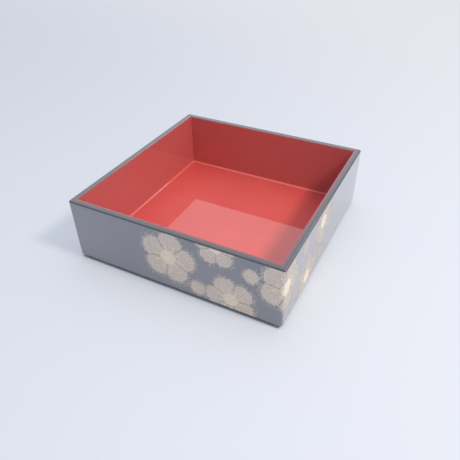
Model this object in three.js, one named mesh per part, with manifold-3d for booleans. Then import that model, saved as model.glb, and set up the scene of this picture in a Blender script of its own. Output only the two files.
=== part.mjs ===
// One open tier of a stacking lacquer box: four mitred boards round a floor board, keyed at the
// corners, on a low foot that drops into the mouth of the tier below. Black lacquer covers the
// outside and the rim, and red lacquer lines the inside.
// Millimetres. The origin is the middle of the foot's underside, +Z is up and -Y is the front.
import * as THREE from "three";
import { mergeVertices } from "three/addons/utils/BufferGeometryUtils.js";
import Module from "manifold-3d";

// Overall sizes
const boxWidth = 195;
const boxDepth = 195;
const wallHeight = 57;
const footHeight = 3;

// Thicknesses
const boardThickness = 5;
const coatThickness = 0.5;
const floorBoardThickness = 2.5;

// Floor and foot
const floorRise = 2; // the red floor lies this far above the walls' lower edge
const tongueInWall = 2.5; // the floor board's edge runs this far in under the walls
const nestClearance = 0.5; // from the foot to the mouth of the tier below, on each side
const battenWidth = 11;

// Rounded edges
const cornerRadius = 2;
const rimRadius = 0.8;
const mouthChamfer = 0.4;
const footCornerRadius = 1;
const footEdgeRadius = 0.4;
const coveRadius = 2;
const innerCornerRadius = 1;

// Keys, let into saw kerfs across the corners
const keysPerCorner = 3;
const kerfHeight = 1.6;
const kerfStandOff = 0.7; // wood left between a kerf and the inner corner
const keyGlueGap = 0.1;
const keyEndMargin = 11; // from a wall's lower or upper edge to the nearest kerf's middle

// Fineness of the round stretches, and how far a cutter runs past what it cuts
const stepsPerQuarter = 6;
const bevelSteps = 3;
const past = 10;

// Levels, from the table up
const wallBottom = footHeight;
const rimTop = wallBottom + wallHeight;
const boardBottom = wallBottom + coatThickness;
const boardTop = rimTop - coatThickness;
const floorTop = wallBottom + floorRise;
const floorBoardTop = floorTop - coatThickness;
const floorBoardBottom = floorBoardTop - floorBoardThickness;
const recessTop = floorBoardBottom - coatThickness;

// Outlines in plan, as half sizes along X and Y, each a distance in from the box's outside
const insetBy = (inset) => new THREE.Vector2(boxWidth / 2 - inset, boxDepth / 2 - inset);
const wallThickness = boardThickness + 2 * coatThickness;
const footInset = wallThickness + nestClearance;
const outside = insetBy(0);
const boardOuter = insetBy(coatThickness);
const boardInner = insetBy(coatThickness + boardThickness);
const mouth = insetBy(wallThickness);
const tongue = insetBy(coatThickness + boardThickness - tongueInWall);
const foot = insetBy(footInset);
const footWood = insetBy(footInset + coatThickness);
const battenInner = insetBy(footInset + coatThickness + battenWidth);
const recess = insetBy(footInset + 2 * coatThickness + battenWidth);

// A coat over a round edge has a radius of its own thickness more, or less inside a hollow
const boardCornerRadius = cornerRadius - coatThickness;
const redCornerRadius = innerCornerRadius - coatThickness;
const redCoveRadius = coveRadius - coatThickness;

const hinoki = { color: 0xd9bf94, roughness: 0.7, metalness: 0 };
const keyWood = { color: 0xc79f6d, roughness: 0.7, metalness: 0 };
const putty = { color: 0x8a6f55, roughness: 0.9, metalness: 0 };
const blackLacquer = { color: 0x50525c, roughness: 0.08, metalness: 0 };
const redLacquer = { color: 0xd5504a, roughness: 0.08, metalness: 0 };

const wasm = await Module();
wasm.setup();

// A closed three.js geometry as a solid that can be joined and cut.
function solidOf(geometry) {
  const bare = geometry.clone();
  bare.deleteAttribute("normal");
  bare.deleteAttribute("uv");
  const merged = mergeVertices(bare);
  return new wasm.Manifold(
    new wasm.Mesh({
      numProp: 3,
      vertProperties: new Float32Array(merged.attributes.position.array),
      triVerts: new Uint32Array(merged.index.array),
    }),
  );
}

function geometryOf(solid) {
  const { vertProperties, triVerts } = solid.getMesh();
  const geometry = new THREE.BufferGeometry();
  geometry.setAttribute("position", new THREE.BufferAttribute(vertProperties, 3));
  geometry.setIndex(new THREE.BufferAttribute(triVerts, 1));
  geometry.computeVertexNormals();
  return geometry;
}

function piece(name, geometry, finish) {
  const mesh = new THREE.Mesh(geometry, new THREE.MeshStandardMaterial(finish));
  mesh.name = name;
  return mesh;
}

// Points along an arc, counted in right angles: `from` 0 is +X and 1 is +Y.
function arc(x, y, radius, from, to) {
  const steps = Math.ceil(Math.abs(to - from) * stepsPerQuarter);
  return Array.from({ length: steps + 1 }, (_, i) => {
    const angle = ((from + ((to - from) * i) / steps) * Math.PI) / 2;
    return new THREE.Vector2(x + radius * Math.cos(angle), y + radius * Math.sin(angle));
  });
}

function roundedRectangle(size, radius) {
  const x = size.x - radius;
  const y = size.y - radius;
  return new THREE.Shape([
    ...arc(x, y, radius, 0, 1),
    ...arc(-x, y, radius, 1, 2),
    ...arc(-x, -y, radius, 2, 3),
    ...arc(x, -y, radius, 3, 4),
  ]);
}

// A shape in plan, raised from one level to another. A bevel takes off both its edges: a round
// one in several steps, and a straight chamfer in one.
function prism(shape, bottom, top, bevel = 0, steps = bevelSteps) {
  return new THREE.ExtrudeGeometry(shape, {
    depth: top - bottom - 2 * bevel,
    bevelEnabled: bevel > 0,
    bevelThickness: bevel,
    bevelSize: bevel,
    bevelOffset: -bevel,
    bevelSegments: steps,
  }).translate(0, 0, bottom + bevel);
}

function block(size, bottom, top) {
  const box = new THREE.BoxGeometry(2 * size.x, 2 * size.y, top - bottom);
  return box.translate(0, 0, (bottom + top) / 2);
}

// The space between the walls, with a cove along each edge of the floor and a fillet up each
// corner. It is what three long prisms, one along each axis, have in common.
function trayBlock(size, bottom, top, floorRadius, sideRadius) {
  const acrossFloor = (reach) =>
    new THREE.Shape([
      new THREE.Vector2(reach, top),
      new THREE.Vector2(-reach, top),
      ...arc(floorRadius - reach, bottom + floorRadius, floorRadius, 2, 3),
      ...arc(reach - floorRadius, bottom + floorRadius, floorRadius, 3, 4),
    ]);
  const length = 2 * (Math.max(size.x, size.y) + past);
  const alongY = (reach) =>
    new THREE.ExtrudeGeometry(acrossFloor(reach), { depth: length, bevelEnabled: false })
      .translate(0, 0, -length / 2)
      .rotateX(Math.PI / 2);
  const upright = prism(roundedRectangle(size, sideRadius), bottom - past, top + past);
  return solidOf(alongY(size.x))
    .intersect(solidOf(alongY(size.y).rotateZ(Math.PI / 2)))
    .intersect(solidOf(upright));
}

// The four walls in turn. What belongs to a wall is built in the wall's own frame: X along the
// wall, y = 0 at the board's outer face and +Y towards the inside. `reach` is half the length
// of the board's outer face.
const walls = [
  { side: "front", turn: 0, reach: boardOuter.x, x: 0, y: -boardOuter.y },
  { side: "right", turn: 1, reach: boardOuter.y, x: boardOuter.x, y: 0 },
  { side: "back", turn: 2, reach: boardOuter.x, x: 0, y: boardOuter.y },
  { side: "left", turn: 3, reach: boardOuter.y, x: -boardOuter.x, y: 0 },
];

// The four corners in turn. What belongs to a corner is built with its two legs along +X and +Y.
const corners = [
  { place: "front_left", turn: 0, x: -1, y: -1 },
  { place: "front_right", turn: 1, x: 1, y: -1 },
  { place: "back_right", turn: 2, x: 1, y: 1 },
  { place: "back_left", turn: 3, x: -1, y: 1 },
];

// The levels of the kerfs' middles, spread evenly up the walls.
const lowestKey = boardBottom + keyEndMargin;
const highestKey = boardTop - keyEndMargin;
const keySpacing = (highestKey - lowestKey) / Math.max(keysPerCorner - 1, 1);
const keyLevels = Array.from({ length: keysPerCorner }, (_, i) => lowestKey + i * keySpacing);

// A kerf takes a three-cornered slice off a corner. Its two legs lie along the outer faces.
const kerfReach = 2 * boardThickness - Math.SQRT2 * kerfStandOff;

function kerf(end, reach, level) {
  const slice = new THREE.Shape([
    new THREE.Vector2(end * (reach - kerfReach - past), -past),
    new THREE.Vector2(end * (reach + past), -past),
    new THREE.Vector2(end * (reach + past), kerfReach + past),
  ]);
  return prism(slice, level - kerfHeight / 2, level + kerfHeight / 2);
}

// A strip along a wall with both ends mitred, between two distances from the wall's outer face.
function mitredStrip(reach, from, to) {
  return new THREE.Shape([
    new THREE.Vector2(from - reach, from),
    new THREE.Vector2(reach - from, from),
    new THREE.Vector2(reach - to, to),
    new THREE.Vector2(to - reach, to),
  ]);
}

// A wall board: mitred at both ends, rounded at the outer corners, rebated along its lower inner
// edge for the floor board's tongue, and cut by the kerfs.
function wallBoard(reach) {
  const outline = new THREE.Shape([
    ...arc(boardCornerRadius - reach, boardCornerRadius, boardCornerRadius, 2.5, 3),
    ...arc(reach - boardCornerRadius, boardCornerRadius, boardCornerRadius, 3, 3.5),
    new THREE.Vector2(reach - boardThickness, boardThickness),
    new THREE.Vector2(boardThickness - reach, boardThickness),
  ]);
  const rebateFace = boardThickness - tongueInWall;
  const rebate = prism(mitredStrip(reach, rebateFace, past), boardBottom - past, floorBoardTop);
  const cuts = keyLevels.flatMap((level) => [kerf(-1, reach, level), kerf(1, reach, level)]);
  return [rebate, ...cuts].reduce(
    (board, cut) => board.subtract(solidOf(cut)),
    solidOf(prism(outline, boardBottom, boardTop)),
  );
}

// A key: a thin three-cornered slip with a rounded outer corner, glued into its kerf.
function cornerKey() {
  const leg = kerfReach - Math.SQRT2 * keyGlueGap;
  const outline = new THREE.Shape([
    new THREE.Vector2(leg, 0),
    new THREE.Vector2(0, leg),
    ...arc(boardCornerRadius, boardCornerRadius, boardCornerRadius, 2, 3),
  ]);
  const halfHeight = kerfHeight / 2 - keyGlueGap;
  return prism(outline, -halfHeight, halfHeight);
}

// A foot batten: one of four strips, mitred at the corners, that stiffen the floor board's edge.
function footBatten(reach) {
  const from = footInset;
  return prism(mitredStrip(reach, from, from + battenWidth), coatThickness, floorBoardBottom);
}

// The putty cove in the angle between a wall and the floor, mitred at both ends.
function floorCove(reach) {
  const section = new THREE.Shape([
    new THREE.Vector2(0, 0),
    ...arc(coveRadius, coveRadius, coveRadius, 3, 2),
  ]);
  const length = 2 * (reach - boardThickness);
  const strip = new THREE.ExtrudeGeometry(section, { depth: length, bevelEnabled: false })
    .translate(0, 0, -length / 2)
    .rotateX(Math.PI / 2)
    .rotateZ(Math.PI / 2)
    .translate(0, boardThickness, floorBoardTop);
  const ends = prism(
    mitredStrip(reach, boardThickness, boardThickness + past),
    floorBoardTop - past,
    floorBoardTop + past,
  );
  return solidOf(strip).intersect(solidOf(ends));
}

// The putty fillet up an inner corner, from the coves to the boards' upper edge.
function cornerFillet() {
  const section = new THREE.Shape([
    new THREE.Vector2(0, 0),
    ...arc(innerCornerRadius, innerCornerRadius, innerCornerRadius, 3, 2),
  ]);
  return prism(section, floorBoardTop + coveRadius, boardTop);
}

// The floor board: its thin edge runs in under the walls as a tongue, and its thick middle
// stands down into the foot.
function floorBoard() {
  const upper = solidOf(block(tongue, boardBottom, floorBoardTop));
  return upper.add(solidOf(block(footWood, floorBoardBottom, boardBottom)));
}

// The black coat on the walls: outer faces, rim and lower edges, in one skin. It laps over the
// rim to the mouth, and runs in under the walls to the foot's own coat.
function wallCoat() {
  const boards = prism(roundedRectangle(boardOuter, boardCornerRadius), boardBottom, boardTop);
  const opening = prism(roundedRectangle(mouth, redCornerRadius), boardTop - past, rimTop + past);
  const flare = insetBy(wallThickness - mouthChamfer);
  const chamfer = prism(
    roundedRectangle(flare, redCornerRadius + mouthChamfer),
    rimTop - mouthChamfer,
    rimTop + past,
    mouthChamfer,
    1,
  );
  const underside = prism(roundedRectangle(foot, footCornerRadius), wallBottom - past, boardTop);
  return [boards, opening, chamfer, underside].reduce(
    (coat, cut) => coat.subtract(solidOf(cut)),
    solidOf(prism(roundedRectangle(outside, cornerRadius), wallBottom, rimTop, rimRadius)),
  );
}

// The black coat on the foot: up its sides, round the battens and over the floor board's
// underside.
function footCoat() {
  const outline = roundedRectangle(foot, footCornerRadius);
  const whole = solidOf(prism(outline, 0, boardBottom + past, footEdgeRadius));
  const above = solidOf(block(outside, boardBottom, boardBottom + 2 * past));
  const board = solidOf(block(footWood, floorBoardBottom, boardBottom + past));
  const battens = solidOf(block(footWood, coatThickness, floorBoardBottom)).subtract(
    solidOf(block(battenInner, 0, floorBoardBottom + past)),
  );
  const hollow = solidOf(block(recess, -past, recessTop));
  return [above, board, battens, hollow].reduce((coat, cut) => coat.subtract(cut), whole);
}

// The red coat inside: one skin over the floor, the coves and the four inner faces.
function liningCoat() {
  const against = trayBlock(boardInner, floorBoardTop, boardTop, coveRadius, innerCornerRadius);
  const seen = trayBlock(mouth, floorTop, boardTop + past, redCoveRadius, redCornerRadius);
  return against.subtract(seen);
}

const box = new THREE.Group();

for (const { side, turn, reach, x, y } of walls) {
  const wall = new THREE.Group();
  wall.add(piece(`board_${side}`, geometryOf(wallBoard(reach)), hinoki));
  wall.add(piece(`foot_batten_${side}`, footBatten(reach), hinoki));
  wall.add(piece(`floor_cove_${side}`, geometryOf(floorCove(reach)), putty));
  wall.rotation.z = (turn * Math.PI) / 2;
  wall.position.set(x, y, 0);
  box.add(wall);
}

for (const { place, turn, x, y } of corners) {
  const corner = new THREE.Group();
  keyLevels.forEach((level, i) => {
    const key = piece(`corner_key_${place}_${i + 1}`, cornerKey(), keyWood);
    key.position.z = level;
    corner.add(key);
  });
  const fillet = piece(`corner_fillet_${place}`, cornerFillet(), putty);
  fillet.position.set(boardThickness, boardThickness, 0);
  corner.add(fillet);
  corner.rotation.z = (turn * Math.PI) / 2;
  corner.position.set(x * boardOuter.x, y * boardOuter.y, 0);
  box.add(corner);
}

box.add(piece("floor_board", geometryOf(floorBoard()), hinoki));
box.add(piece("foot_lacquer", geometryOf(footCoat()), blackLacquer));
box.add(piece("wall_lacquer", geometryOf(wallCoat()), blackLacquer));
box.add(piece("lining_lacquer", geometryOf(liningCoat()), redLacquer));

export default box;
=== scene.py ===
"""One open tier of a stacking lacquer box, dressed over its fixed solids.

The tier is black lacquer outside and on its rim, and vermilion lacquer inside. Plum blossoms in
pale sprinkled powder lie round its front right corner. Sizes are in millimetres where a name
says mm, and every mesh is in metres, in the frame of the solids: the origin is the middle of the
foot's underside, +Z is up, -Y is the front and +X the right.
"""

import logging
import math
from dataclasses import dataclass, field
from enum import Enum
from typing import Callable, Iterable, Mapping, Sequence

import bmesh
import bpy
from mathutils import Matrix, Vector


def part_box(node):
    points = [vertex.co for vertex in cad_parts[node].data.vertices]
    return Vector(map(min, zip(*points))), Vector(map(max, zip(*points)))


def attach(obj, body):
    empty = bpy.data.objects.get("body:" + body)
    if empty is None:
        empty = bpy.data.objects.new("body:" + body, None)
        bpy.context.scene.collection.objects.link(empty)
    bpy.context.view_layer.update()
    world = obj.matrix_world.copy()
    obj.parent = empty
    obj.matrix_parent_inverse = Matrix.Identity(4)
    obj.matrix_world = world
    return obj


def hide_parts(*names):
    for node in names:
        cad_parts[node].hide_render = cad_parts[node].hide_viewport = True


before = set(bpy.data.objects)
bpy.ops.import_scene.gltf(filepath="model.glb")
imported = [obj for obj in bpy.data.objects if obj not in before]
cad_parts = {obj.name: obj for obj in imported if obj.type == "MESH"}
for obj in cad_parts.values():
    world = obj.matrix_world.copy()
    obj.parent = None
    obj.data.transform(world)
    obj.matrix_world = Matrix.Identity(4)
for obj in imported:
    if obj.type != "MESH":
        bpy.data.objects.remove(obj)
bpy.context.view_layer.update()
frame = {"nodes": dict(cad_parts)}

MM = 0.001
ROOT = "root"
log = logging.getLogger("tier")

Span = tuple[float, float]
Point2 = tuple[float, float]
Point3 = tuple[float, float, float]
Mesh = bpy.types.Mesh
Material = bpy.types.Material
Thing = bpy.types.Object
Tree = bpy.types.NodeTree
Socket = bpy.types.NodeSocket


class Slot(Enum):
    """The finishes that the part's record names."""

    BLACK = "black_lacquer"
    RED = "red_lacquer"
    POWDER = "petal_powder"
    CREAM = "cream_lacquer"


class Side(Enum):
    """The two walls that meet at the decorated corner, as the sign of a drawing's run."""

    FRONT = -1
    RIGHT = 1


class Hidden(Enum):
    """What the coats hide, as the starts of the solids' names."""

    BOARD = ("board", "floor_board", "foot_batten")
    SLIP = ("corner_key",)
    PUTTY = ("floor_cove", "corner_fillet")


def srgb(code: str) -> tuple[float, float, float, float]:
    """Turn an sRGB hex colour into a linear one.

    Args:
        code: The colour, such as "#50525c".

    Returns:
        Linear red, green, blue and alpha.
    """
    parts = [int(code[i : i + 2], 16) / 255 for i in (1, 3, 5)]
    linear = [c / 12.92 if c <= 0.04045 else ((c + 0.055) / 1.055) ** 2.4 for c in parts]
    return (*linear, 1.0)


def add_node(
    tree: Tree, kind: str, inputs: Mapping | Sequence = (), **settings: object
) -> bpy.types.bpy_prop_collection:
    """Add a node, set it up and feed its inputs.

    Args:
        tree: The node tree that gets the node.
        kind: The node's type name.
        inputs: A value or an output socket for each input, in order or by name or number.
        **settings: Properties of the node itself.

    Returns:
        The new node's outputs.
    """
    node = tree.nodes.new(kind)
    for name, value in settings.items():
        setattr(node, name, value)
    named = inputs if isinstance(inputs, Mapping) else dict(enumerate(inputs))
    for key, value in named.items():
        if isinstance(value, Socket):
            tree.links.new(value, node.inputs[key])
        else:
            node.inputs[key].default_value = value
    return node.outputs


def new_material(name: str) -> tuple[Material, Tree, Socket]:
    """Make a material that has no shader yet.

    Args:
        name: The material's name.

    Returns:
        The material, its tree and its Object coordinates.
    """
    material = bpy.data.materials.new(name)
    material.use_nodes = True
    tree = material.node_tree
    tree.nodes.clear()
    return material, tree, add_node(tree, "ShaderNodeTexCoord")["Object"]


def new_shape_tree(name: str, inputs: Mapping[str, str]) -> tuple[Tree, Mapping]:
    """Make a geometry node tree that takes and gives a Geometry.

    Args:
        name: The tree's name.
        inputs: The kind of each further input, such as "Float", by the input's name.

    Returns:
        The tree, and the outputs of its input node.
    """
    tree = bpy.data.node_groups.new(name, "GeometryNodeTree")
    given = [(name, "INPUT", kind) for name, kind in {"Geometry": "Geometry", **inputs}.items()]
    for name, way, kind in [*given, ("Geometry", "OUTPUT", "Geometry")]:
        tree.interface.new_socket(name, in_out=way, socket_type=f"NodeSocket{kind}")
    return tree, add_node(tree, "NodeGroupInput")


def end_shape_tree(tree: Tree, shape: Socket, finish: Material) -> None:
    """End a geometry node tree: make instances real, give them their finish and hand them out.

    Args:
        tree: The tree.
        shape: The geometry to hand out.
        finish: Its material.
    """
    real = add_node(tree, "GeometryNodeRealizeInstances", {"Geometry": shape})[0]
    inputs = {"Geometry": real, "Material": finish}
    add_node(tree, "NodeGroupOutput", [add_node(tree, "GeometryNodeSetMaterial", inputs)[0]])


def run_shape_tree(tree: Tree, start: Mesh, values: Mapping[str, object]) -> Mesh:
    """Run a geometry node tree on a mesh and keep the result as a plain mesh.

    Args:
        tree: The tree.
        start: The mesh that it takes.
        values: A value for each of its other inputs, by the input's name.

    Returns:
        The plain mesh. The object and the modifier that it came from are gone.
    """
    bench = bpy.data.objects.new("bench", start)
    bpy.context.scene.collection.objects.link(bench)
    modifier = bench.modifiers.new("shape", "NODES")
    modifier.node_group = tree
    for item in tree.interface.items_tree:
        if item.in_out == "INPUT" and item.name in values:
            modifier[item.identifier] = values[item.name]
    shaped = bench.evaluated_get(bpy.context.evaluated_depsgraph_get())
    result = bpy.data.meshes.new_from_object(shaped)
    bench.modifiers.remove(modifier)
    bpy.data.objects.remove(bench)
    return result


def closed_up(mesh: Mesh) -> Mesh:
    """Triangulate a closed mesh's caps and turn its faces outwards.

    Args:
        mesh: The mesh, which is changed.

    Returns:
        The same mesh.
    """
    skin = bmesh.new()
    skin.from_mesh(mesh)
    caps = [face for face in skin.faces if len(face.verts) > 4]
    bmesh.ops.triangulate(skin, faces=caps)
    bmesh.ops.recalc_face_normals(skin, faces=skin.faces)
    skin.to_mesh(mesh)
    skin.free()
    return mesh


def risen(tree: Tree, *rises: tuple[Socket, Sequence[float]]) -> Socket:
    """Multiply smooth rises from 0 to 1.

    Args:
        tree: The node tree that gets the nodes.
        *rises: Each rise's value, with where it starts and where it is full.

    Returns:
        The product, from 0 to 1.
    """
    share = 1.0
    for value, (start, full) in rises:
        inputs = {"Value": value, "From Min": start, "From Max": full}
        rise = add_node(tree, "ShaderNodeMapRange", inputs, interpolation_type="SMOOTHSTEP")[0]
        share = add_node(tree, "ShaderNodeMath", [share, rise], operation="MULTIPLY")[0]
    return share


def square_reach(tree: Tree, place: Socket) -> Socket:
    """How far out of the box's middle a point lies in plan: the larger of |x| and |y|.

    Args:
        tree: The node tree that gets the nodes.
        place: The point's place.

    Returns:
        The reach, in metres.
    """
    axes = add_node(tree, "ShaderNodeSeparateXYZ", [place])
    sides = [
        add_node(tree, "ShaderNodeMath", [axis], operation="ABSOLUTE")[0] for axis in axes[:2]
    ]
    return add_node(tree, "ShaderNodeMath", sides, operation="MAXIMUM")[0]


@dataclass(frozen=True)
class Zone:
    """A part of the box with a colour laid over the lacquer's, some of it painted light or shade,
    faded in by reach in plan and by level.

    Each pair says where the fade starts and where it is full, so a falling pair fades inwards
    or downwards.
    """

    colour: str
    reach_mm: Span
    level_mm: Span

    def share(self, tree: Tree, place: Socket) -> Socket:
        """How much of the zone's colour a point takes.

        Args:
            tree: The material's tree.
            place: The point's place.

        Returns:
            The share, from 0 to 1.
        """
        reach, level = ([edge * MM for edge in span] for span in (self.reach_mm, self.level_mm))
        height = add_node(tree, "ShaderNodeSeparateXYZ", [place])["Z"]
        return risen(tree, (square_reach(tree, place), reach), (height, level))


@dataclass(frozen=True)
class Lacquer:
    """Urushi lacquer, polished by hand: an even, deep colour under a clear skin.

    The skin mirrors sharply, and strongly at a low angle. Hand polishing leaves it a little
    wavy, so straight reflections waver very slightly, and the colour has faint broad blotches.
    """

    name: str
    colour: str
    deep: str
    zones: tuple[Zone, ...]
    body_roughness: float
    skin_ior: float
    skin_roughness: float = 0.03
    body_ior: float = 1.5
    blotch_mm: float = 55.0
    blotch_detail: float = 3.0
    blotch_fade: Span = (0.35, 0.65)
    wave_mm: float = 38.0
    wave_detail: float = 1.0
    wave_height_mm: float = 0.0012

    def tone(self, tree: Tree, place: Socket) -> Socket:
        """The colour at a point: two close tones in blotches, and the zones over them.

        Args:
            tree: The material's tree.
            place: The point's place.

        Returns:
            The colour.
        """
        scale = 1 / (self.blotch_mm * MM)
        inputs = {"Vector": place, "Scale": scale, "Detail": self.blotch_detail}
        blotches = add_node(tree, "ShaderNodeTexNoise", inputs)["Fac"]
        layers = [(risen(tree, (blotches, self.blotch_fade)), self.colour)]
        layers += [(zone.share(tree, place), zone.colour) for zone in self.zones]
        tone = srgb(self.deep)
        for share, colour in layers:
            inputs = {0: share, 6: tone, 7: srgb(colour)}
            tone = add_node(tree, "ShaderNodeMix", inputs, data_type="RGBA")[2]
        return tone

    def material(self) -> Material:
        """Build the material.

        Returns:
            The material.
        """
        material, tree, place = new_material(self.name)
        scale = 1 / (self.wave_mm * MM)
        inputs = {"Vector": place, "Scale": scale, "Detail": self.wave_detail}
        waves = add_node(tree, "ShaderNodeTexNoise", inputs)["Fac"]
        inputs = {"Height": waves, "Distance": self.wave_height_mm * MM}
        bump = add_node(tree, "ShaderNodeBump", inputs)[0]
        inputs = {
            "Base Color": self.tone(tree, place),
            "Roughness": self.body_roughness,
            "IOR": self.body_ior,
            "Coat Weight": 1.0,
            "Coat Roughness": self.skin_roughness,
            "Coat IOR": self.skin_ior,
            "Normal": bump,
            "Coat Normal": bump,
        }
        shader = add_node(tree, "ShaderNodeBsdfPrincipled", inputs)[0]
        add_node(tree, "ShaderNodeOutputMaterial", [shader])
        return material


@dataclass(frozen=True)
class SprinkledPowder:
    """Powder sprinkled on wet lacquer, sealed with a clear coat and polished flush.

    Its grains show as a fine two-toned speckle, softer and less mirroring than the lacquer
    round them. Metal powder also mirrors the light round it, blurred.
    """

    name: str
    pale: str
    dark: str
    grain_mm: float
    metal: float = 0.0
    body_roughness: float = 0.5
    seal_weight: float = 0.6
    seal_roughness: float = 0.05

    def material(self) -> Material:
        """Build the material.

        Returns:
            The material.
        """
        material, tree, place = new_material(self.name)
        inputs = {"Vector": place, "Scale": 1 / (self.grain_mm * MM)}
        cells = add_node(tree, "ShaderNodeTexVoronoi", inputs)["Color"]
        tone = add_node(tree, "ShaderNodeSeparateColor", [cells])[0]
        inputs = {0: tone, 6: srgb(self.dark), 7: srgb(self.pale)}
        inputs = {
            "Base Color": add_node(tree, "ShaderNodeMix", inputs, data_type="RGBA")[2],
            "Metallic": self.metal,
            "Roughness": self.body_roughness,
            "Coat Weight": self.seal_weight,
            "Coat Roughness": self.seal_roughness,
        }
        shader = add_node(tree, "ShaderNodeBsdfPrincipled", inputs)[0]
        add_node(tree, "ShaderNodeOutputMaterial", [shader])
        return material


@dataclass(frozen=True)
class PlanedWood:
    """Planed wood: pale and matt, with darker late wood in bands along the grain.

    The bands lie level, as in the edge-sawn boards that boxes are made from.
    """

    name: str
    early: str
    late: str
    ring_mm: float
    run: float = 12.0
    warp_mm: float = 9.0
    warp_detail: float = 3.0
    waver: float = 6.0
    roughness: float = 0.7

    def material(self) -> Material:
        """Build the material.

        Returns:
            The material.
        """
        material, tree, place = new_material(self.name)
        inputs = {"Vector": place, "Scale": (1 / self.run, 1 / self.run, 1)}
        along = add_node(tree, "ShaderNodeMapping", inputs)[0]
        scale = 1 / (self.warp_mm * MM)
        inputs = {"Vector": along, "Scale": scale, "Detail": self.warp_detail}
        warp = add_node(tree, "ShaderNodeTexNoise", inputs)["Fac"]
        bands_per_scale = 20
        scale = 1 / (self.ring_mm * MM * bands_per_scale)
        inputs = {"Vector": along, "Scale": scale, "Distortion": self.waver}
        rings = add_node(tree, "ShaderNodeTexWave", inputs, bands_direction="Z")["Fac"]
        shade = add_node(tree, "ShaderNodeMath", [rings, warp], operation="MULTIPLY")[0]
        inputs = {0: shade, 6: srgb(self.early), 7: srgb(self.late)}
        colour = add_node(tree, "ShaderNodeMix", inputs, data_type="RGBA")[2]
        inputs = {"Base Color": colour, "Roughness": self.roughness}
        shader = add_node(tree, "ShaderNodeBsdfPrincipled", inputs)[0]
        add_node(tree, "ShaderNodeOutputMaterial", [shader])
        return material


@dataclass(frozen=True)
class LacquerPutty:
    """Sawdust bound with raw lacquer, filed smooth: brown, quite matt and grainy."""

    name: str
    pale: str
    dark: str
    grain_mm: float
    grain_detail: float = 4.0
    dent_mm: float = 0.05
    roughness: float = 0.9

    def material(self) -> Material:
        """Build the material.

        Returns:
            The material.
        """
        material, tree, place = new_material(self.name)
        scale = 1 / (self.grain_mm * MM)
        inputs = {"Vector": place, "Scale": scale, "Detail": self.grain_detail}
        grains = add_node(tree, "ShaderNodeTexNoise", inputs)["Fac"]
        inputs = {0: grains, 6: srgb(self.dark), 7: srgb(self.pale)}
        colour = add_node(tree, "ShaderNodeMix", inputs, data_type="RGBA")[2]
        inputs = {"Height": grains, "Distance": self.dent_mm * MM}
        bump = add_node(tree, "ShaderNodeBump", inputs)[0]
        inputs = {"Base Color": colour, "Roughness": self.roughness, "Normal": bump}
        shader = add_node(tree, "ShaderNodeBsdfPrincipled", inputs)[0]
        add_node(tree, "ShaderNodeOutputMaterial", [shader])
        return material


# Painted shade balance: the rim's top gets far more light from above than the walls, so it is
# painted near black, darker than the walls' painted grey, and reads as black under its
# reflections.
RIM_TOP = Zone("#3c3e47", reach_mm=(0.0, 1.0), level_mm=(58.5, 58.9))
# A pinkish band is painted on the mouth's rounded edge: partly the red coat showing where the
# black thins out there, and partly a painted highlight of the pale room on that rounding.
MOUTH_EDGE_RED_AND_HIGHLIGHT = Zone("#7a444e", reach_mm=(95.2, 92.2), level_mm=(59.2, 59.5))
# Painted highlight: a thin paler line is painted along the foot of the coves, where the room's
# light catches the rounding.
COVE_HIGHLIGHT_PAINT = Zone("#f0857a", reach_mm=(89.1, 89.5), level_mm=(5.2, 5.1))
# The inner walls' red is painted a little darker and greyer than the floor's, as painted shade and
# a painted grey veil of light on them.
INNER_WALL_SHADE_PAINT = Zone("#ca605e", reach_mm=(91.0, 91.4), level_mm=(6.2, 7.0))
# The walls' black is painted a mid grey, which stands in for a pale veil of light over it, and the
# clear skin mirrors the table in it.
BLACK = Lacquer(
    "black urushi lacquer, hand polished",
    colour="#7b7d88",
    deep="#767883",
    zones=(RIM_TOP, MOUTH_EDGE_RED_AND_HIGHLIGHT),
    body_roughness=0.1,
    skin_ior=1.9,
)
# Vermilion in clear lacquer is opaque and even, and its skin mirrors walls and room.
# Its zones paint a highlight along the coves and shade on the inner walls.
RED = Lacquer(
    "vermilion urushi lacquer, hand polished",
    colour="#da554f",
    deep="#d6514b",
    zones=(COVE_HIGHLIGHT_PAINT, INNER_WALL_SHADE_PAINT),
    body_roughness=0.6,
    skin_ior=1.85,
)
# Silver powder under lacquer looks pale and warm, with a fine speckle of light and dark grains,
# and mirrors the table softly. Real grains are about 0.1 mm across and are drawn at 0.9 mm, so
# that they show.
POWDER = SprinkledPowder(
    "silver powder, sprinkled and polished flush", "#e3d6c9", "#ccbfb2", grain_mm=0.9, metal=0.85
)
# Cream lacquer is opaque and warm, with hardly any speckle.
CREAM = SprinkledPowder("cream lacquer inlay, polished flush", "#fff0da", "#f6e4cc", grain_mm=3.0)
# Planed cypress is pale straw, with narrow brown lines of late wood.
CYPRESS = PlanedWood("cypress, planed", "#dcc39a", "#b98e58", ring_mm=2.2)
# Planed zelkova is darker and redder, with closer lines.
ZELKOVA = PlanedWood("zelkova slips, planed", "#c9a06c", "#9c7040", ring_mm=1.4)
# Filed putty is dull brown with a sandy grain.
PUTTY = LacquerPutty("sawdust and lacquer putty, filed", "#9a7f63", "#6e5540", grain_mm=0.6)


def pairs(items: Sequence, looped: bool) -> Iterable[tuple]:
    """Each item with the next one, and the last with the first if they are looped."""
    return zip(items, [*items[1:], items[0]] if looped else items[1:])


def quads(first: Sequence[int], second: Sequence[int]) -> list[tuple[int, ...]]:
    """Four-sided faces between two looped rows of points."""
    return [(a, b, c, d) for (a, b), (d, c) in zip(pairs(first, True), pairs(second, True))]


def mark(mesh: Mesh, **numbers: Sequence[float]) -> None:
    """Give each point of a mesh a number under each name."""
    for name, values in numbers.items():
        mesh.attributes.new(name, "FLOAT", "POINT").data.foreach_set("value", values)


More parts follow.
